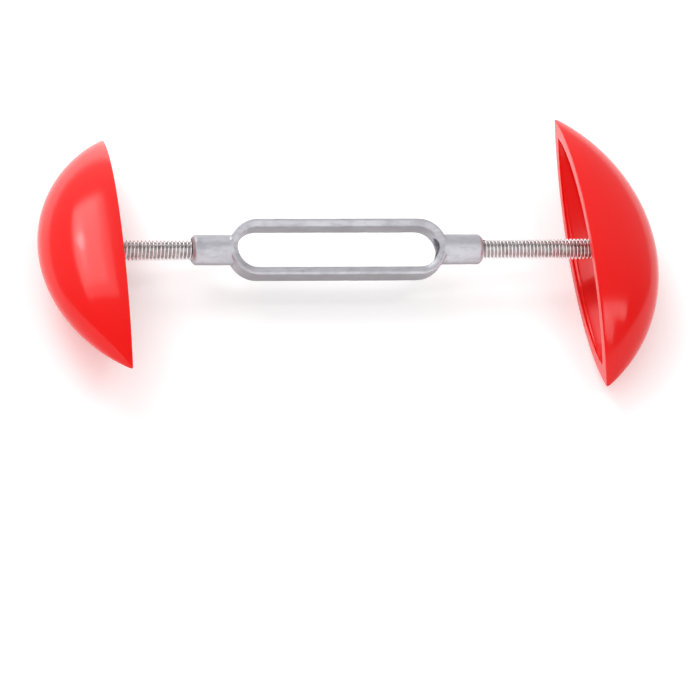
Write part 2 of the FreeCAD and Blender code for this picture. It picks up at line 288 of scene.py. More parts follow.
def makePlatedSteel(look):
    material, tree = newMaterial("brightZincPlatedSteel")
    place = addNode(tree, "ShaderNodeTexCoord").outputs["Object"]
    mottle = addNode(tree, "ShaderNodeTexNoise", {
        "Vector": place, "Scale": 1 / (look["mottleSize"] * mm), "Detail": 4.0, "Roughness": 0.6})
    groove = addNode(tree, "ShaderNodeAttribute", attribute_name="groove")
    plate = addNode(tree, "ShaderNodeMix", {
        "Factor": mottle.outputs["Fac"], colourA: toLinear(look["colour"]),
        colourB: toLinear(look["clearColour"])}, data_type="RGBA")
    grooveDarkAmount = addNode(tree, "ShaderNodeMapRange", {
        "Value": mottle.outputs["Fac"], "From Min": look["mottleSpan"][0], "From Max": look["mottleSpan"][1],
        "To Min": look["grooveDarkShare"][0], "To Max": look["grooveDarkShare"][1]})
    # darker brownish tone, strongest at the bottom of the thread groove
    low = addNode(tree, "ShaderNodeMath", {
        0: groove.outputs["Fac"], 1: look["grooveDarkLow"]}, operation="POWER")
    darkInGroove = addNode(tree, "ShaderNodeMath", {0: low, 1: grooveDarkAmount}, operation="MULTIPLY")
    tone = addNode(tree, "ShaderNodeMix", {
        "Factor": darkInGroove, colourA: plate.outputs[colourOut],
        colourB: toLinear(look["grooveDarkColour"])}, data_type="RGBA")
    gloss = addNode(tree, "ShaderNodeMapRange", {
        "Value": mottle.outputs["Fac"], "From Min": look["mottleSpan"][0], "From Max": look["mottleSpan"][1],
        "To Min": look["gloss"][0], "To Max": look["gloss"][1]})
    grain = addNode(tree, "ShaderNodeTexNoise", {
        "Vector": place, "Scale": 1 / (look["grainSize"] * mm), "Detail": 2.0})
    skin = addNode(tree, "ShaderNodeBump", {
        "Height": grain.outputs["Fac"], "Strength": 1.0, "Distance": look["grainHeight"] * mm})
    shader = addNode(tree, "ShaderNodeBsdfPrincipled", {
        "Base Color": tone.outputs[colourOut], "Metallic": 1.0, "Roughness": gloss, "Normal": skin})
    addNode(tree, "ShaderNodeOutputMaterial", {"Surface": shader})
    return material


redFinish = makeRedMoulding(redMoulding)
zincFinish = makeCastZinc(castZinc)
steelFinish = makePlatedSteel(platedSteel)
print("finishes made")


# Half-moon shells: a lens in plan and an ellipse in section, hollow, with a flat rim
shellSizes = {
    "length": 64.0,
    "width": 16.0,
    "depth": 14.7,
    "wall": 1.6,           # at the sides and the back
    "tipLand": 4.9,        # flat rim at each tip
    "tipDepth": 0.3,
    "rimRound": 0.14,
    "tipLead": 1.5,        # how much faster a tip moves in than a side when the outline shrinks
    "tipPower": 240.0,     # higher is a sharper tip
    # the inside of the wall: from and to these degrees down from the rim, and how far it comes in
    "wallStep": (1.75, 3.5, 0.17),
    "wallDraft": (4.2, 20.0, 0.85),
    "wallRelief": (20.0, 42.0, -1.02),  # given back before the nut
    "stepTurn": 6.0,       # the first degrees, which have finer rows
    "bossRadius": 4.5,
    "bossFront": 9.24,     # below the rim
    "bossFoot": 12.9,
    "bossFootWidth": 0.75,  # the foot narrows to stay inside the curved wall
    "rodHole": 1.97,
    "rodHoleEnd": 12.94,
    "around": 160,         # columns of the mesh
    "outerRows": 40,
    "edgeRows": 5,
    "landRows": 4,
    "stepRows": 14,
    "hollowRows": 34,
    "bossSides": 96,
    "holeSides": 64,
    "weld": 0.002,         # closes the keels and tips
    "cutWeld": 0.004,      # closes slivers along the cuts
    "sharpFrom": 40.0,
}


# the lens rule, shared by the outside and the hollow: a point from its place along and across
def makeLensGroup(sizes):
    tree = bpy.data.node_groups.new("lensPoint", "GeometryNodeTree")
    tree.interface.new_socket("Point", in_out="OUTPUT", socket_type="NodeSocketVector")
    for name in ("Along", "Swing", "Side", "Half Length", "Half Width", "Depth", "Drop"):
        tree.interface.new_socket(name, in_out="INPUT", socket_type="NodeSocketFloat")
    given = addNode(tree, "NodeGroupInput").outputs
    y = addNode(tree, "ShaderNodeMath", {
        0: given["Along"], 1: given["Half Length"]}, operation="MULTIPLY")
    tip = sizes["tipDepth"] * mm
    sag = addNode(tree, "ShaderNodeMath", {0: given["Depth"], 1: tip}, operation="SUBTRACT")
    sagSquare = addNode(tree, "ShaderNodeMath", {0: sag, 1: 2.0}, operation="POWER")
    reachSquare = addNode(tree, "ShaderNodeMath", {0: given["Half Length"], 1: 2.0}, operation="POWER")
    squares = addNode(tree, "ShaderNodeMath", {0: sagSquare, 1: reachSquare}, operation="ADD")
    twiceSag = addNode(tree, "ShaderNodeMath", {0: sag, 1: 2.0}, operation="MULTIPLY")
    radius = addNode(tree, "ShaderNodeMath", {0: squares, 1: twiceSag}, operation="DIVIDE")
    radiusSquare = addNode(tree, "ShaderNodeMath", {0: radius, 1: 2.0}, operation="POWER")
    ySquare = addNode(tree, "ShaderNodeMath", {0: y, 1: y}, operation="MULTIPLY")
    heightSquare = addNode(tree, "ShaderNodeMath", {0: radiusSquare, 1: ySquare}, operation="SUBTRACT")
    height = addNode(tree, "ShaderNodeMath", {0: heightSquare}, operation="SQRT")
    fall = addNode(tree, "ShaderNodeMath", {0: radius, 1: height}, operation="SUBTRACT")
    bow = addNode(tree, "ShaderNodeMath", {0: given["Depth"], 1: fall}, operation="SUBTRACT")
    # the square end of the arc is drawn in to a round tip
    reach = addNode(tree, "ShaderNodeMath", {0: given["Along"]}, operation="ABSOLUTE")
    near = addNode(tree, "ShaderNodeMath", {0: reach, 1: sizes["tipPower"]}, operation="POWER")
    opened = addNode(tree, "ShaderNodeMath", {0: 1.0, 1: near}, operation="SUBTRACT", use_clamp=True)
    taper = addNode(tree, "ShaderNodeMath", {0: opened}, operation="SQRT")
    deep = addNode(tree, "ShaderNodeMath", {0: bow, 1: taper}, operation="MULTIPLY")
    share = addNode(tree, "ShaderNodeMath", {0: deep, 1: given["Depth"]}, operation="DIVIDE")
    cosine = addNode(tree, "ShaderNodeMath", {0: given["Swing"]}, operation="COSINE")
    sine = addNode(tree, "ShaderNodeMath", {0: given["Swing"]}, operation="SINE")
    x = addNode(tree, "ShaderNodeMath", {0: deep, 1: cosine, 2: given["Drop"]}, operation="MULTIPLY_ADD")
    wide = addNode(tree, "ShaderNodeMath", {0: share, 1: given["Half Width"]}, operation="MULTIPLY")
    across = addNode(tree, "ShaderNodeMath", {0: wide, 1: sine}, operation="MULTIPLY")
    z = addNode(tree, "ShaderNodeMath", {0: across, 1: given["Side"]}, operation="MULTIPLY")
    point = addNode(tree, "ShaderNodeCombineXYZ", {0: x, 1: y, 2: z})
    addNode(tree, "NodeGroupOutput", {0: point})
    return tree


def makeShellTree(sizes, lensGroup):
    tree, given = newTree("halfMoonShell", (
        "Half Length", "Half Width", "Depth", "Hollow Half Length", "Hollow Half Width", "Hollow Depth",
        "Rim Round", "Boss Front", "Boss Radius", "Boss Foot", "Rod Hole", "Rod Hole End", "Heading",
        "Twist", "Rim X"))
    outerEnd = sizes["outerRows"]
    rollEnd = outerEnd + sizes["edgeRows"]
    landEnd = rollEnd + sizes["landRows"]
    lipEnd = landEnd + sizes["edgeRows"]
    stepEnd = lipEnd + sizes["stepRows"]
    lastRow = stepEnd + sizes["hollowRows"]
    net = addNode(tree, "GeometryNodeMeshGrid", {
        "Size X": 1.0, "Size Y": 1.0, "Vertices X": lastRow + 1, "Vertices Y": sizes["around"] + 1})
    place = addNode(tree, "ShaderNodeSeparateXYZ", {0: addNode(tree, "GeometryNodeInputPosition")})
    row = addNode(tree, "ShaderNodeMath", {
        0: place.outputs[0], 1: lastRow, 2: lastRow / 2}, operation="MULTIPLY_ADD")
    turn = addNode(tree, "ShaderNodeMath", {
        0: place.outputs[1], 1: tau, 2: math.pi}, operation="MULTIPLY_ADD")
    along = addNode(tree, "ShaderNodeMath", {0: turn}, operation="COSINE")
    sideways = addNode(tree, "ShaderNodeMath", {0: turn}, operation="SINE")
    side = addNode(tree, "ShaderNodeMath", {0: sideways}, operation="SIGN")

    # from the keel of the outside, over the rounded rim and its flat land, to the keel of the hollow
    rise = addNode(tree, "ShaderNodeMapRange", {
        "Value": row, "From Min": 0.0, "From Max": outerEnd, "To Min": 0.0, "To Max": rightAngle})
    stepTurn = math.radians(sizes["stepTurn"])
    fine = addNode(tree, "ShaderNodeMapRange", {
        "Value": row, "From Min": lipEnd, "From Max": stepEnd, "To Min": 0.0, "To Max": stepTurn})
    coarse = addNode(tree, "ShaderNodeMapRange", {
        "Value": row, "From Min": stepEnd, "From Max": lastRow, "To Min": 0.0,
        "To Max": rightAngle - stepTurn})
    descent = addNode(tree, "ShaderNodeMath", {0: fine, 1: coarse}, operation="ADD")
    swing = addNode(tree, "ShaderNodeMath", {0: rise, 1: descent}, operation="SUBTRACT")
    roll = addNode(tree, "ShaderNodeMapRange", {
        "Value": row, "From Min": outerEnd, "From Max": rollEnd, "To Min": 0.0, "To Max": rightAngle})
    lip = addNode(tree, "ShaderNodeMapRange", {
        "Value": row, "From Min": landEnd, "From Max": lipEnd, "To Min": 0.0, "To Max": rightAngle})
    inward = addNode(tree, "ShaderNodeMapRange", {"Value": row, "From Min": rollEnd, "From Max": landEnd})

    # how far the rounded edges stand back from the sharp corner, in plan and in depth
    standBack = {}
    edges = (("outer", roll, "COSINE", "SINE"), ("hollow", lip, "SINE", "COSINE"))
    for name, angle, planWay, depthWay in edges:
        for use, way in (("plan", planWay), ("depth", depthWay)):
            part = addNode(tree, "ShaderNodeMath", {0: angle}, operation=way)
            rest = addNode(tree, "ShaderNodeMath", {0: 1.0, 1: part}, operation="SUBTRACT")
            standBack[name, use] = addNode(tree, "ShaderNodeMath", {
                0: rest, 1: given["Rim Round"]}, operation="MULTIPLY")
    narrowing = 0.0
    for start, end, change in (sizes["wallStep"], sizes["wallDraft"], sizes["wallRelief"]):
        part = addNode(tree, "ShaderNodeMapRange", {
            "Value": descent, "From Min": math.radians(start), "From Max": math.radians(end),
            "To Min": 0.0, "To Max": change * mm})
        narrowing = addNode(tree, "ShaderNodeMath", {0: narrowing, 1: part}, operation="ADD")
    hollowWidth = addNode(tree, "ShaderNodeMath", {
        0: given["Hollow Half Width"], 1: narrowing}, operation="SUBTRACT").outputs[0]
    points = {}
    for name, prefix, way, fullWidth in (("outer", "", -1.0, given["Half Width"]),
                                         ("hollow", "Hollow ", 1.0, hollowWidth)):
        plan = standBack[name, "plan"]
        halfLength = addNode(tree, "ShaderNodeMath", {
            0: plan, 1: way * sizes["tipLead"],
            2: given[prefix + "Half Length"]}, operation="MULTIPLY_ADD")
        halfWidth = addNode(tree, "ShaderNodeMath", {
            0: plan, 1: way, 2: fullWidth}, operation="MULTIPLY_ADD")
        depth = addNode(tree, "ShaderNodeMath", {
            0: given[prefix + "Depth"], 1: given["Rim Round"]}, operation="SUBTRACT")
        points[name] = addNode(tree, "GeometryNodeGroup", node_tree=lensGroup)
        for key, value in (("Along", along), ("Swing", swing), ("Side", side), ("Half Length", halfLength),
                           ("Half Width", halfWidth), ("Depth", depth), ("Drop", standBack[name, "depth"])):
            tree.links.new(value.outputs[0], points[name].inputs[key])
    skin = addNode(tree, "ShaderNodeMix", {
        "Factor": inward, vectorA: points["outer"], vectorB: points["hollow"]}, data_type="VECTOR")
    shaped = addNode(tree, "GeometryNodeSetPosition", {
        "Geometry": net, "Position": skin.outputs[vectorOut]})
    closed = addNode(tree, "GeometryNodeMergeByDistance", {
        "Geometry": shaped, "Distance": sizes["weld"] * mm})

    # boss on the floor of the hollow, and the hole for the rod
    bossLength = addNode(tree, "ShaderNodeMath", {
        0: given["Boss Foot"], 1: given["Boss Front"]}, operation="SUBTRACT")
    bossMiddle = addNode(tree, "ShaderNodeMath", {
        0: bossLength, 1: 0.5, 2: given["Boss Front"]}, operation="MULTIPLY_ADD")
    boss = addNode(tree, "GeometryNodeMeshCylinder", {
        "Vertices": sizes["bossSides"], "Radius": given["Boss Radius"], "Depth": bossLength})
    bossPlace = addNode(tree, "ShaderNodeSeparateXYZ", {0: addNode(tree, "GeometryNodeInputPosition")})
    isFoot = addNode(tree, "ShaderNodeMath", {0: bossPlace.outputs[2], 1: 0.0}, operation="GREATER_THAN")
    narrow = addNode(tree, "ShaderNodeMath", {
        0: bossPlace.outputs[0], 1: sizes["bossFootWidth"]}, operation="MULTIPLY")
    footPlace = addNode(tree, "ShaderNodeCombineXYZ", {
        0: narrow, 1: bossPlace.outputs[1], 2: bossPlace.outputs[2]})
    footed = addNode(tree, "GeometryNodeSetPosition", {
        "Geometry": boss, "Selection": isFoot, "Position": footPlace})
    bossAt = addNode(tree, "ShaderNodeCombineXYZ", {0: bossMiddle})
    laidBoss = addNode(tree, "GeometryNodeTransform", {
        "Geometry": footed, "Translation": bossAt, "Rotation": (0.0, rightAngle, 0.0)})
    cup = addNode(tree, "GeometryNodeMeshBoolean", operation="UNION", solver="MANIFOLD")
    for part in (closed, laidBoss):
        threeSided = addNode(tree, "GeometryNodeTriangulate", {0: part})  # such faces cut cleanly
        tree.links.new(threeSided.outputs[0], cup.inputs[1])
    hole = addNode(tree, "GeometryNodeMeshCylinder", {
        "Vertices": sizes["holeSides"], "Radius": given["Rod Hole"], "Depth": given["Rod Hole End"]})
    holeMiddle = addNode(tree, "ShaderNodeMath", {0: given["Rod Hole End"], 1: 0.5}, operation="MULTIPLY")
    holeAt = addNode(tree, "ShaderNodeCombineXYZ", {0: holeMiddle})
    laidHole = addNode(tree, "GeometryNodeTransform", {
        "Geometry": hole, "Translation": holeAt, "Rotation": (0.0, rightAngle, 0.0)})
    drilled = addNode(tree, "GeometryNodeMeshBoolean", {
        0: cup, 1: laidHole}, operation="DIFFERENCE", solver="MANIFOLD")
    clean = addNode(tree, "GeometryNodeMergeByDistance", {
        "Geometry": drilled, "Distance": sizes["cutWeld"] * mm})

    # heading 0 opens to -X and half a turn opens to +X, then the shell is tipped about the rod
    faced = addNode(tree, "ShaderNodeCombineXYZ", {2: given["Heading"]})
    headed = addNode(tree, "GeometryNodeTransform", {"Geometry": clean, "Rotation": faced})
    tipped = addNode(tree, "ShaderNodeCombineXYZ", {0: given["Twist"]})
    rimAt = addNode(tree, "ShaderNodeCombineXYZ", {0: given["Rim X"]})
    hung = addNode(tree, "GeometryNodeTransform", {
        "Geometry": headed, "Rotation": tipped, "Translation": rimAt})
    endTree(tree, hung, given["Finish"])
    return tree


shellTree = makeShellTree(shellSizes, makeLensGroup(shellSizes))
shellPlaces = {
    "left": {"heading": 180.0, "twist": -5.5, "rimX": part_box("left_shell")[1].x, "body": "left_half"},
    "right": {"heading": 0.0, "twist": 5.5, "rimX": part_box("right_shell")[0].x, "body": "right_half"},
}
for name, where in shellPlaces.items():
    shell = newPiece(name + "HalfMoonShell")
    useTree(shell, shellTree, {
        "Half Length": shellSizes["length"] / 2 * mm,
        "Half Width": shellSizes["width"] / 2 * mm,
        "Depth": shellSizes["depth"] * mm,
        "Hollow Half Length": (shellSizes["length"] / 2 - shellSizes["tipLand"]) * mm,
        "Hollow Half Width": (shellSizes["width"] / 2 - shellSizes["wall"]) * mm,
        "Hollow Depth": (shellSizes["depth"] - shellSizes["wall"]) * mm,
        "Rim Round": shellSizes["rimRound"] * mm,
        "Boss Front": shellSizes["bossFront"] * mm,
        "Boss Radius": shellSizes["bossRadius"] * mm,
        "Boss Foot": shellSizes["bossFoot"] * mm,
        "Rod Hole": shellSizes["rodHole"] * mm,
        "Rod Hole End": shellSizes["rodHoleEnd"] * mm,
        "Heading": math.radians(where["heading"]),
        "Twist": math.radians(where["twist"]),
        "Rim X": where["rimX"],
        "Finish": redFinish,
    })
    settle(shell, where["body"], name + "_shell", shellSizes["sharpFrom"])


# Threaded rods: one helical groove on a bar, left-handed on the left
rodSizes = {
    "pitch": 0.7,
    "threadDepth": 0.43,
    "rootFlat": 0.10,
    "crestFlat": 0.12,
    "chamfer": 0.35,
    "rowsPerPitch": 14,
    "around": 56,
    "weld": 0.001,         # closes the seam and the end faces
    "sharpFrom": 50.0,
}


def makeRodTree(sizes):
    tree, given = newTree("threadedRod", (
        "Start X", "Length", "Radius", "Thread Depth", "Pitch", "Root Flat", "Crest Flat", "Chamfer",
        "Hand", "Twist"), ("Rows", "Around"))
    net = addNode(tree, "GeometryNodeMeshGrid", {
        "Size X": 1.0, "Size Y": 1.0, "Vertices X": given["Rows"], "Vertices Y": given["Around"]})
    place = addNode(tree, "ShaderNodeSeparateXYZ", {0: addNode(tree, "GeometryNodeInputPosition")})
    lastRow = addNode(tree, "ShaderNodeMath", {0: given["Rows"], 1: 1.0}, operation="SUBTRACT")
    share = addNode(tree, "ShaderNodeMath", {0: place.outputs[0], 1: 0.5}, operation="ADD")
    row = addNode(tree, "ShaderNodeMath", {0: share, 1: lastRow}, operation="MULTIPLY")
    # the first and last rows are the middles of the end faces
    lastRing = addNode(tree, "ShaderNodeMath", {0: lastRow, 1: 1.0}, operation="SUBTRACT")
    distance = addNode(tree, "ShaderNodeMapRange", {
        "Value": row, "From Min": 1.0, "From Max": lastRing, "To Min": 0.0, "To Max": given["Length"]})
    turn = addNode(tree, "ShaderNodeMath", {
        0: place.outputs[1], 1: -tau, 2: math.pi}, operation="MULTIPLY_ADD")
    # the groove goes once round in each pitch
    wound = addNode(tree, "ShaderNodeMath", {0: turn, 1: rightAngle}, operation="SUBTRACT")
    woundShare = addNode(tree, "ShaderNodeMath", {0: wound, 1: tau}, operation="DIVIDE")
    handed = addNode(tree, "ShaderNodeMath", {0: woundShare, 1: given["Hand"]}, operation="MULTIPLY")
    pitches = addNode(tree, "ShaderNodeMath", {0: distance, 1: given["Pitch"]}, operation="DIVIDE")
    phase = addNode(tree, "ShaderNodeMath", {0: pitches, 1: handed}, operation="SUBTRACT")
    toGroove = addNode(tree, "ShaderNodeMath", {0: phase, 1: 0.5}, operation="PINGPONG")
    fromGroove = addNode(tree, "ShaderNodeMath", {0: toGroove, 1: given["Pitch"]}, operation="MULTIPLY")
    crestEdge = addNode(tree, "ShaderNodeMath", {
        0: given["Pitch"], 1: given["Crest Flat"]}, operation="SUBTRACT")
    halfTop = addNode(tree, "ShaderNodeMath", {0: crestEdge, 1: 0.5}, operation="MULTIPLY")
    halfRoot = addNode(tree, "ShaderNodeMath", {0: given["Root Flat"], 1: 0.5}, operation="MULTIPLY")
    groove = addNode(tree, "ShaderNodeMapRange", {
        "Value": fromGroove, "From Min": halfTop, "From Max": halfRoot}, interpolation_type="SMOOTHSTEP")
    sunk = addNode(tree, "ShaderNodeMath", {0: groove, 1: given["Thread Depth"]}, operation="MULTIPLY")
    threaded = addNode(tree, "ShaderNodeMath", {0: given["Radius"], 1: sunk}, operation="SUBTRACT")
    # cone at each end
    toFar = addNode(tree, "ShaderNodeMath", {0: given["Length"], 1: distance}, operation="SUBTRACT")
    toEnd = addNode(tree, "ShaderNodeMath", {0: distance, 1: toFar}, operation="MINIMUM")
    endRadius = addNode(tree, "ShaderNodeMath", {
        0: given["Radius"], 1: given["Chamfer"]}, operation="SUBTRACT")
    cone = addNode(tree, "ShaderNodeMath", {0: endRadius, 1: toEnd}, operation="ADD")
    coned = addNode(tree, "ShaderNodeMath", {0: threaded, 1: cone}, operation="MINIMUM")
    fromFirst = addNode(tree, "ShaderNodeMath", {0: row, 1: 0.5}, operation="GREATER_THAN")
    lastEdge = addNode(tree, "ShaderNodeMath", {0: lastRow, 1: 0.5}, operation="SUBTRACT")
    fromLast = addNode(tree, "ShaderNodeMath", {0: row, 1: lastEdge}, operation="LESS_THAN")
    isRing = addNode(tree, "ShaderNodeMath", {0: fromFirst, 1: fromLast}, operation="MULTIPLY")
    radius = addNode(tree, "ShaderNodeMath", {0: coned, 1: isRing}, operation="MULTIPLY")
    angle = addNode(tree, "ShaderNodeMath", {0: turn, 1: given["Twist"]}, operation="ADD")
    cosine = addNode(tree, "ShaderNodeMath", {0: angle}, operation="COSINE")
    sine = addNode(tree, "ShaderNodeMath", {0: angle}, operation="SINE")
    x = addNode(tree, "ShaderNodeMath", {0: given["Start X"], 1: distance}, operation="ADD")
    y = addNode(tree, "ShaderNodeMath", {0: radius, 1: cosine}, operation="MULTIPLY")
    z = addNode(tree, "ShaderNodeMath", {0: radius, 1: sine}, operation="MULTIPLY")
    point = addNode(tree, "ShaderNodeCombineXYZ", {0: x, 1: y, 2: z})
    marked = addNode(tree, "GeometryNodeStoreNamedAttribute", {
        "Geometry": net, "Name": "groove", "Value": groove}, data_type="FLOAT", domain="POINT")
    shaped = addNode(tree, "GeometryNodeSetPosition", {"Geometry": marked, "Position": point})
    closed = addNode(tree, "GeometryNodeMergeByDistance", {
        "Geometry": shaped, "Distance": sizes["weld"] * mm})
    endTree(tree, closed, given["Finish"])
    return tree


rodTree = makeRodTree(rodSizes)
rodHands = {"left": -1.0, "right": 1.0}
for name, hand in rodHands.items():
    low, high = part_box(name + "_rod")
    length = high.x - low.x
    rings = int(length / (rodSizes["pitch"] * mm) * rodSizes["rowsPerPitch"]) + 1
    rod = newPiece(name + "ThreadedRod")
    useTree(rod, rodTree, {
        "Start X": low.x,
        "Length": length,
        "Radius": high.z,
        "Thread Depth": rodSizes["threadDepth"] * mm,
        "Pitch": rodSizes["pitch"] * mm,
        "Root Flat": rodSizes["rootFlat"] * mm,
        "Crest Flat": rodSizes["crestFlat"] * mm,
        "Chamfer": rodSizes["chamfer"] * mm,
        "Hand": hand,
        "Twist": math.radians(shellPlaces[name]["twist"]),
        "Rows": rings + 2,  # with the middles of both end faces
        "Around": rodSizes["around"] + 1,
        "Finish": steelFinish,
    })
    settle(rod, shellPlaces[name]["body"], name + "_rod", rodSizes["sharpFrom"])


# Cast frame: a bar bent round in an oval, with a tube cast on at each end
frameSizes = {
    "length": 55.0,
    "loopLength": 41.0,
    "loopWidth": 10.8,
    "loopDepth": 5.8,
    "slotDepth": 4.3,      # the bar is drafted towards the slot
    "barWidth": 1.60,
    "edgeRound": 0.40,
    "socketRadius": 2.85,
    "boreRadius": 2.0,
    "edgeBreak": 0.08,
    "mouthRadius": 2.22,   # each mouth is coned off to here
    "socketRoot": 19.3,    # where the tubes start, inside the ends of the loop
    "tilt": 28.0,          # turned about the rods, as it lies
    "grain": 0.15,         # size of the remeshed faces
    "endShare": 0.4999,    # of the width, as radius of the loop's ends: half, less a hair
    "endSteps": 28,
    "edgeSteps": 6,
    "breakSteps": 2,
    "boreSides": 72,
    "socketSides": 96,
    "coneGrain": 0.1,      # size of a socket's faces along it
    "softening": 3,        # smoothing passes, for the rounded corners of a casting
    "swell": 0.03,         # cast unevenness in height, always inwards
    "swellSize": 4.5,
    "dent": 0.03,
    "dentSize": 1.5,
    "noiseSpan": (0.45, 0.75),  # noise, from 0 to 1, where a hollow starts and is full
    "seed": 7.0,
    "sharpFrom": 75.0,
}


def makeFrameTree(sizes):
    tree, given = newTree("castFrame", (
        "Length", "Loop Length", "Loop Width", "Loop Depth", "Slot Depth", "Bar Width", "Edge Round",
        "Socket Radius", "Bore Radius", "Edge Break", "Mouth Radius", "Socket Root"))
    # the loop: its middle line is a rectangle with fully rounded ends
    lineLength = addNode(tree, "ShaderNodeMath", {
        0: given["Loop Length"], 1: given["Bar Width"]}, operation="SUBTRACT")
    lineWidth = addNode(tree, "ShaderNodeMath", {
        0: given["Loop Width"], 1: given["Bar Width"]}, operation="SUBTRACT")
    oval = addNode(tree, "GeometryNodeCurvePrimitiveQuadrilateral", {
        "Width": lineLength, "Height": lineWidth})
    endRadius = addNode(tree, "ShaderNodeMath", {
        0: lineWidth, 1: sizes["endShare"]}, operation="MULTIPLY")
    rounded = addNode(tree, "GeometryNodeFilletCurve", {
        "Curve": oval, "Count": sizes["endSteps"], "Radius": endRadius}, mode="POLY")
    level = addNode(tree, "GeometryNodeSetCurveNormal", {"Curve": rounded}, mode="Z_UP")
    bar = addNode(tree, "GeometryNodeCurvePrimitiveQuadrilateral", {
        "Height": given["Bar Width"], "Bottom Width": given["Loop Depth"],
        "Top Width": given["Slot Depth"], "Offset": 0.0}, mode="TRAPEZOID")
    uprightBar = addNode(tree, "GeometryNodeTransform", {
        "Geometry": bar, "Rotation": (0.0, 0.0, rightAngle)})
    softBar = addNode(tree, "GeometryNodeFilletCurve", {
        "Curve": uprightBar, "Count": sizes["edgeSteps"], "Radius": given["Edge Round"]}, mode="POLY")
    loop = addNode(tree, "GeometryNodeCurveToMesh", {"Curve": level, "Profile Curve": softBar})

    # one bore through both ends of the loop
    bore = addNode(tree, "GeometryNodeMeshCylinder", {
        "Vertices": sizes["boreSides"], "Radius": given["Bore Radius"], "Depth": given["Length"]})
    laidBore = addNode(tree, "GeometryNodeTransform", {
        "Geometry": bore, "Rotation": (0.0, rightAngle, 0.0)})
    bored = addNode(tree, "GeometryNodeMeshBoolean", {
        0: loop, 1: laidBore}, operation="DIFFERENCE", solver="MANIFOLD")

    # a tube on each end, with its mouth coned off
    halfLength = addNode(tree, "ShaderNodeMath", {0: given["Length"], 1: 0.5}, operation="MULTIPLY")
    tubeLength = addNode(tree, "ShaderNodeMath", {
        0: halfLength, 1: given["Socket Root"]}, operation="SUBTRACT")
    tubeEnds = addNode(tree, "ShaderNodeMath", {0: halfLength, 1: given["Socket Root"]}, operation="ADD")
    tubeMiddle = addNode(tree, "ShaderNodeMath", {0: tubeEnds, 1: 0.5}, operation="MULTIPLY")
    tubeWall = addNode(tree, "ShaderNodeMath", {
        0: given["Socket Radius"], 1: given["Bore Radius"]}, operation="SUBTRACT")
    tubeRadii = addNode(tree, "ShaderNodeMath", {
        0: given["Socket Radius"], 1: given["Bore Radius"]}, operation="ADD")
    ringRadius = addNode(tree, "ShaderNodeMath", {0: tubeRadii, 1: 0.5}, operation="MULTIPLY")
    tubeBar = addNode(tree, "GeometryNodeCurvePrimitiveQuadrilateral", {
        "Width": tubeWall, "Height": tubeLength})
    tubeEdge = addNode(tree, "GeometryNodeFilletCurve", {
        "Curve": tubeBar, "Count": sizes["breakSteps"], "Radius": given["Edge Break"]}, mode="POLY")
    fineEdge = addNode(tree, "GeometryNodeResampleCurve", {
        "Curve": tubeEdge, "Length": sizes["coneGrain"] * mm}, mode="LENGTH")
    ring = addNode(tree, "GeometryNodeCurvePrimitiveCircle", {
        "Resolution": sizes["socketSides"], "Radius": ringRadius})
    levelRing = addNode(tree, "GeometryNodeSetCurveNormal", {"Curve": ring}, mode="Z_UP")
    tube = addNode(tree, "GeometryNodeCurveToMesh", {"Curve": levelRing, "Profile Curve": fineEdge})
    place = addNode(tree, "ShaderNodeSeparateXYZ", {0: addNode(tree, "GeometryNodeInputPosition")})
    outward = addNode(tree, "ShaderNodeCombineXYZ", {0: place.outputs[0], 1: place.outputs[1]})
    reach = addNode(tree, "ShaderNodeVectorMath", {0: outward}, operation="LENGTH").outputs["Value"]
    halfTube = addNode(tree, "ShaderNodeMath", {0: tubeLength, 1: 0.5}, operation="MULTIPLY")
    fromMiddle = addNode(tree, "ShaderNodeMath", {0: place.outputs[2]}, operation="ABSOLUTE")
    toMouth = addNode(tree, "ShaderNodeMath", {0: halfTube, 1: fromMiddle}, operation="SUBTRACT")
    coneRadius = addNode(tree, "ShaderNodeMath", {0: given["Mouth Radius"], 1: toMouth}, operation="ADD")
    kept = addNode(tree, "ShaderNodeMath", {0: coneRadius, 1: reach}, operation="MINIMUM")
    share = addNode(tree, "ShaderNodeMath", {0: kept, 1: reach}, operation="DIVIDE")
    drawnIn = addNode(tree, "ShaderNodeVectorMath", {0: outward, "Scale": share}, operation="SCALE")
    upright = addNode(tree, "ShaderNodeCombineXYZ", {2: place.outputs[2]})
    conePoint = addNode(tree, "ShaderNodeVectorMath", {0: drawnIn, 1: upright}, operation="ADD")
    coned = addNode(tree, "GeometryNodeSetPosition", {"Geometry": tube, "Position": conePoint})
    whole = addNode(tree, "GeometryNodeJoinGeometry", {0: bored})
    for way in (-1.0, 1.0):
        at = addNode(tree, "ShaderNodeMath", {0: tubeMiddle, 1: way}, operation="MULTIPLY")
        tubeAt = addNode(tree, "ShaderNodeCombineXYZ", {0: at})
        laid = addNode(tree, "GeometryNodeTransform", {
            "Geometry": coned, "Translation": tubeAt, "Rotation": (0.0, rightAngle, 0.0)})
        tree.links.new(laid.outputs[0], whole.inputs[0])
    endTree(tree, whole, given["Finish"])
    return tree


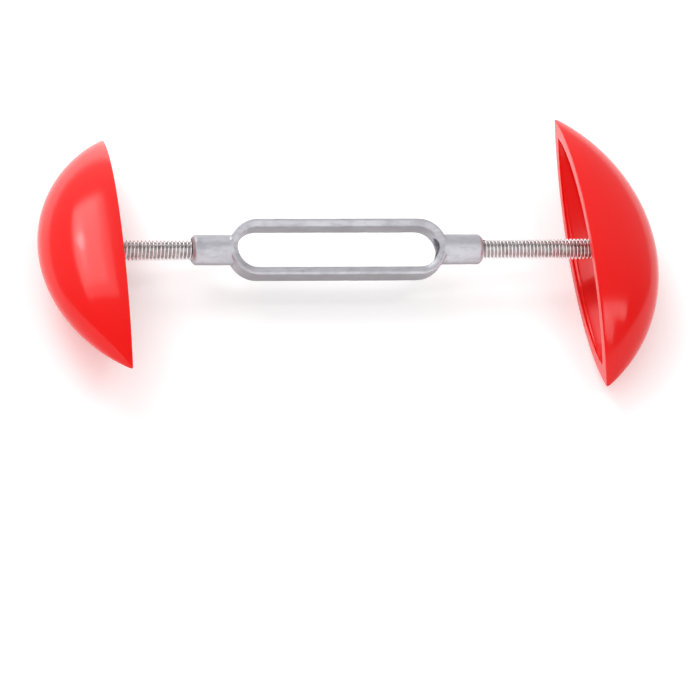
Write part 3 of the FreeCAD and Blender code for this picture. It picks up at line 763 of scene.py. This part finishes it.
# the skin of the casting: corners softened, faces a little uneven and dented
def makeCastSkinTree(sizes):
    tree, given = newTree("castSkin", (
        "Swell", "Swell Size", "Dent", "Dent Size", "Seed", "Tilt"), ("Softening",))
    cast = tree.interface.new_socket("Cast", in_out="INPUT", socket_type="NodeSocketGeometry")
    tree.interface.move(cast, 1)
    place = addNode(tree, "GeometryNodeInputPosition")
    soft = addNode(tree, "GeometryNodeBlurAttribute", {
        "Value": place, "Iterations": given["Softening"]}, data_type="FLOAT_VECTOR")
    softened = addNode(tree, "GeometryNodeSetPosition", {"Geometry": given["Cast"], "Position": soft})
    depths = []
    for height, size in (("Swell", "Swell Size"), ("Dent", "Dent Size")):
        scale = addNode(tree, "ShaderNodeMath", {0: 1.0, 1: given[size]}, operation="DIVIDE")
        noise = addNode(tree, "ShaderNodeTexNoise", {
            "W": given["Seed"], "Scale": scale, "Detail": 2.0}, noise_dimensions="4D")
        low = addNode(tree, "ShaderNodeMapRange", {
            "Value": noise.outputs[0], "From Min": sizes["noiseSpan"][0],
            "From Max": sizes["noiseSpan"][1], "To Min": 0.0, "To Max": given[height]})
        depths.append(low)
    sunk = addNode(tree, "ShaderNodeMath", {0: depths[0], 1: depths[1]}, operation="ADD")
    inward = addNode(tree, "ShaderNodeMath", {0: sunk, 1: -1.0}, operation="MULTIPLY")
    normal = addNode(tree, "GeometryNodeInputNormal")
    offset = addNode(tree, "ShaderNodeVectorMath", {0: normal, "Scale": inward}, operation="SCALE")
    uneven = addNode(tree, "GeometryNodeSetPosition", {"Geometry": softened, "Offset": offset})
    tilted = addNode(tree, "ShaderNodeCombineXYZ", {0: given["Tilt"]})
    laid = addNode(tree, "GeometryNodeTransform", {"Geometry": uneven, "Rotation": tilted})
    endTree(tree, laid, given["Finish"])
    return tree


castFrame = newPiece("castFrame")
useTree(castFrame, makeFrameTree(frameSizes), {
    "Length": frameSizes["length"] * mm,
    "Loop Length": frameSizes["loopLength"] * mm,
    "Loop Width": frameSizes["loopWidth"] * mm,
    "Loop Depth": frameSizes["loopDepth"] * mm,
    "Slot Depth": frameSizes["slotDepth"] * mm,
    "Bar Width": frameSizes["barWidth"] * mm,
    "Edge Round": frameSizes["edgeRound"] * mm,
    "Socket Radius": frameSizes["socketRadius"] * mm,
    "Bore Radius": frameSizes["boreRadius"] * mm,
    "Edge Break": frameSizes["edgeBreak"] * mm,
    "Mouth Radius": frameSizes["mouthRadius"] * mm,
    "Socket Root": frameSizes["socketRoot"] * mm,
    "Finish": zincFinish,
})
joined = castFrame.modifiers.new("joinedCasting", "REMESH")
joined.mode = "VOXEL"
joined.voxel_size = frameSizes["grain"] * mm
useTree(castFrame, makeCastSkinTree(frameSizes), {
    "Softening": frameSizes["softening"],
    "Swell": frameSizes["swell"] * mm,
    "Swell Size": frameSizes["swellSize"] * mm,
    "Dent": frameSizes["dent"] * mm,
    "Dent Size": frameSizes["dentSize"] * mm,
    "Seed": frameSizes["seed"],
    "Tilt": math.radians(frameSizes["tilt"]),
    "Finish": zincFinish,
})
settle(castFrame, "frame", "frame", frameSizes["sharpFrom"])

for side in ("left", "right"):
    for kind in ("captive_nut", "jam_nut", "washer"):
        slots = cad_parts[side + "_" + kind].data.materials
        slots.clear()
        slots.append(steelFinish)
print("nuts and washers finished")


# Floor, light and camera
floorLevel = cadBox[0].z
floorLook = {
    "colour": "#FAFAFA",
    "size": 4000.0,
    "lift": 0.22,          # added for the eye and for mirrors, so that the floor reads as white
}


def makeFloor(look):
    material, tree = newMaterial("paleStudioFloor")
    matt = addNode(tree, "ShaderNodeBsdfDiffuse", {"Color": toLinear(look["colour"])})
    path = addNode(tree, "ShaderNodeLightPath").outputs
    mirrored = addNode(tree, "ShaderNodeMath", {
        0: path["Is Glossy Ray"], 1: path["Is Transmission Ray"]}, operation="MAXIMUM")
    seen = addNode(tree, "ShaderNodeMath", {0: path["Is Camera Ray"], 1: mirrored}, operation="MAXIMUM")
    lift = addNode(tree, "ShaderNodeMath", {0: seen, 1: look["lift"]}, operation="MULTIPLY")
    glow = addNode(tree, "ShaderNodeEmission", {"Color": toLinear(look["colour"]), "Strength": lift})
    shader = addNode(tree, "ShaderNodeAddShader", {0: matt, 1: glow})
    addNode(tree, "ShaderNodeOutputMaterial", {"Surface": shader})
    half = look["size"] * mm / 2
    mesh = bpy.data.meshes.new("studioFloor")
    corners = [(x, y, floorLevel) for x, y in ((-half, -half), (half, -half), (half, half), (-half, half))]
    mesh.from_pydata(corners, [], [(0, 1, 2, 3)])
    mesh.materials.append(material)
    floor = bpy.data.objects.new("studioFloor", mesh)
    scene.collection.objects.link(floor)


makeFloor(floorLook)

# soft fill that is stronger on the left, and a room for reflections: a bright front and a white
# strip along the horizon, under a dimmer ceiling that comes down at the back
worldLook = {
    "colour": "#FFFFFF",
    "front": 1.20,
    "ceilingNear": 0.24,   # overhead
    "ceilingFar": 0.60,    # at the back
    "ceilingSpan": (0.1, 0.5),  # how far back the ceiling starts to change and is done
    "ceilingFrom": 0.49,   # height in the room where the ceiling starts and where it is full
    "ceilingTo": 0.59,
    "ceilingSlope": 1.365,
    "ceilingBack": 0.36,   # no further slope from here on
    "fillLeft": 1.06,
    "fillRight": 0.55,
    "seen": 1.0,           # what the eye sees of it, which is white
}


def makeWorld(look):
    world = bpy.data.worlds.new("paleStudio")
    world.use_nodes = True
    tree = world.node_tree
    tree.nodes.clear()
    way = addNode(tree, "ShaderNodeSeparateXYZ", {
        0: addNode(tree, "ShaderNodeTexCoord").outputs["Generated"]})
    sloping = addNode(tree, "ShaderNodeMath", {
        0: way.outputs[1], 1: look["ceilingBack"]}, operation="MINIMUM")
    height = addNode(tree, "ShaderNodeMath", {
        0: sloping, 1: look["ceilingSlope"], 2: way.outputs[2]}, operation="MULTIPLY_ADD")
    level = addNode(tree, "ShaderNodeMapRange", {
        "Value": way.outputs[1], "From Min": look["ceilingSpan"][0], "From Max": look["ceilingSpan"][1],
        "To Min": look["ceilingNear"], "To Max": look["ceilingFar"]})
    ceiling = addNode(tree, "ShaderNodeMapRange", {
        "Value": height, "From Min": look["ceilingFrom"], "From Max": look["ceilingTo"],
        "To Min": look["front"], "To Max": level}, interpolation_type="SMOOTHSTEP")
    fill = addNode(tree, "ShaderNodeMapRange", {
        "Value": way.outputs[0], "From Min": -1.0, "From Max": 1.0, "To Min": look["fillLeft"],
        "To Max": look["fillRight"]})
    path = addNode(tree, "ShaderNodeLightPath").outputs
    mirrored = addNode(tree, "ShaderNodeMath", {
        0: path["Is Glossy Ray"], 1: path["Is Transmission Ray"]}, operation="MAXIMUM")
    lit = addNode(tree, "ShaderNodeMix", {
        "Factor": mirrored, numberA: fill, numberB: ceiling}, data_type="FLOAT")
    strength = addNode(tree, "ShaderNodeMix", {
        "Factor": path["Is Camera Ray"], numberA: lit, numberB: look["seen"]}, data_type="FLOAT")
    sky = addNode(tree, "ShaderNodeBackground", {"Color": toLinear(look["colour"]), "Strength": strength})
    addNode(tree, "ShaderNodeOutputWorld", {"Surface": sky})
    scene.world = world


makeWorld(worldLook)

# a long window that is brighter inside and along its left edge, and a panel with a tail on the right,
# each where one shell mirrors it to the eye; a softbox shines away from the way that its back points
softboxes = {
    "longWindow": {"at": (-258.0, 675.0, 500.0), "back": (0.0, 0.0, 1.0),
                   "size": (400.0, 960.0), "radiance": 1.5},
    "longWindowCore": {"at": (-285.0, 660.0, 499.0), "back": (0.0, 0.0, 1.0),
                       "size": (320.0, 800.0), "radiance": 1.6},
    "windowStreak": {"at": (-325.0, 580.0, 498.0), "back": (0.0, 0.0, 1.0),
                     "size": (60.0, 440.0), "radiance": 1.6},
    "windowGlow": {"at": (-285.0, 480.0, 415.0), "back": (-0.35, 0.71, 0.61),
                   "size": (62.0, 74.0), "radiance": 7.0},
    "rightPanel": {"at": (400.0, 20.0, 640.0), "back": (0.48, 0.05, 0.88),
                   "size": (80.0, 390.0), "radiance": 2.8},
    "rightPanelTail": {"at": (290.0, -72.0, 641.0), "back": (0.35, -0.08, 0.93),
                       "size": (110.0, 170.0), "radiance": 2.8},
}
for name, box in softboxes.items():
    lamp = bpy.data.lights.new(name, "AREA")
    lamp.shape = "RECTANGLE"
    lamp.size, lamp.size_y = box["size"][0] * mm, box["size"][1] * mm
    lamp.energy = box["radiance"] * math.pi * lamp.size * lamp.size_y
    rig = bpy.data.objects.new(name, lamp)
    rig.location = Vector(box["at"]) * mm
    rig.rotation_euler = Vector(box["back"]).to_track_quat("Z", "Y").to_euler()
    scene.collection.objects.link(rig)
print("studio lit")

cameraView = {
    "swing": -15.17,       # from the front, towards the left
    "elevation": 47.0,
    "roll": 10.73,
    "distance": 614.0,
    "pixelsPerMm": 5.366,  # at the frame's middle
    "imageSize": 700,      # pixels
    "middleAt": (337.4, 249.7),  # pixel of the frame's middle
    "sensor": 36.0,
    "clip": (10.0, 50000.0),
}


def makeCamera(view):
    swing, elevation, roll = (math.radians(view[k]) for k in ("swing", "elevation", "roll"))
    back = Vector((math.sin(swing) * math.cos(elevation), -math.cos(swing) * math.cos(elevation),
                   math.sin(elevation)))
    right = Vector((math.cos(swing), math.sin(swing), 0.0))
    up = back.cross(right)
    rolledRight = right * math.cos(roll) + up * math.sin(roll)
    rolledUp = up * math.cos(roll) - right * math.sin(roll)
    centre = view["imageSize"] / 2
    across = (centre - view["middleAt"][0]) / view["pixelsPerMm"]
    down = (centre - view["middleAt"][1]) / view["pixelsPerMm"]
    data = bpy.data.cameras.new("photoCamera")
    data.sensor_width = view["sensor"]
    data.lens = view["pixelsPerMm"] * view["distance"] / view["imageSize"] * view["sensor"]
    data.clip_start, data.clip_end = (reach * mm for reach in view["clip"])
    camera = bpy.data.objects.new("photoCamera", data)
    place = (rolledRight * across - rolledUp * down + back * view["distance"]) * mm
    turned = Matrix((rolledRight, rolledUp, back)).transposed().to_4x4()
    camera.matrix_world = Matrix.Translation(place) @ turned
    scene.collection.objects.link(camera)
    scene.camera = camera


makeCamera(cameraView)
scene.view_settings.view_transform = "Standard"
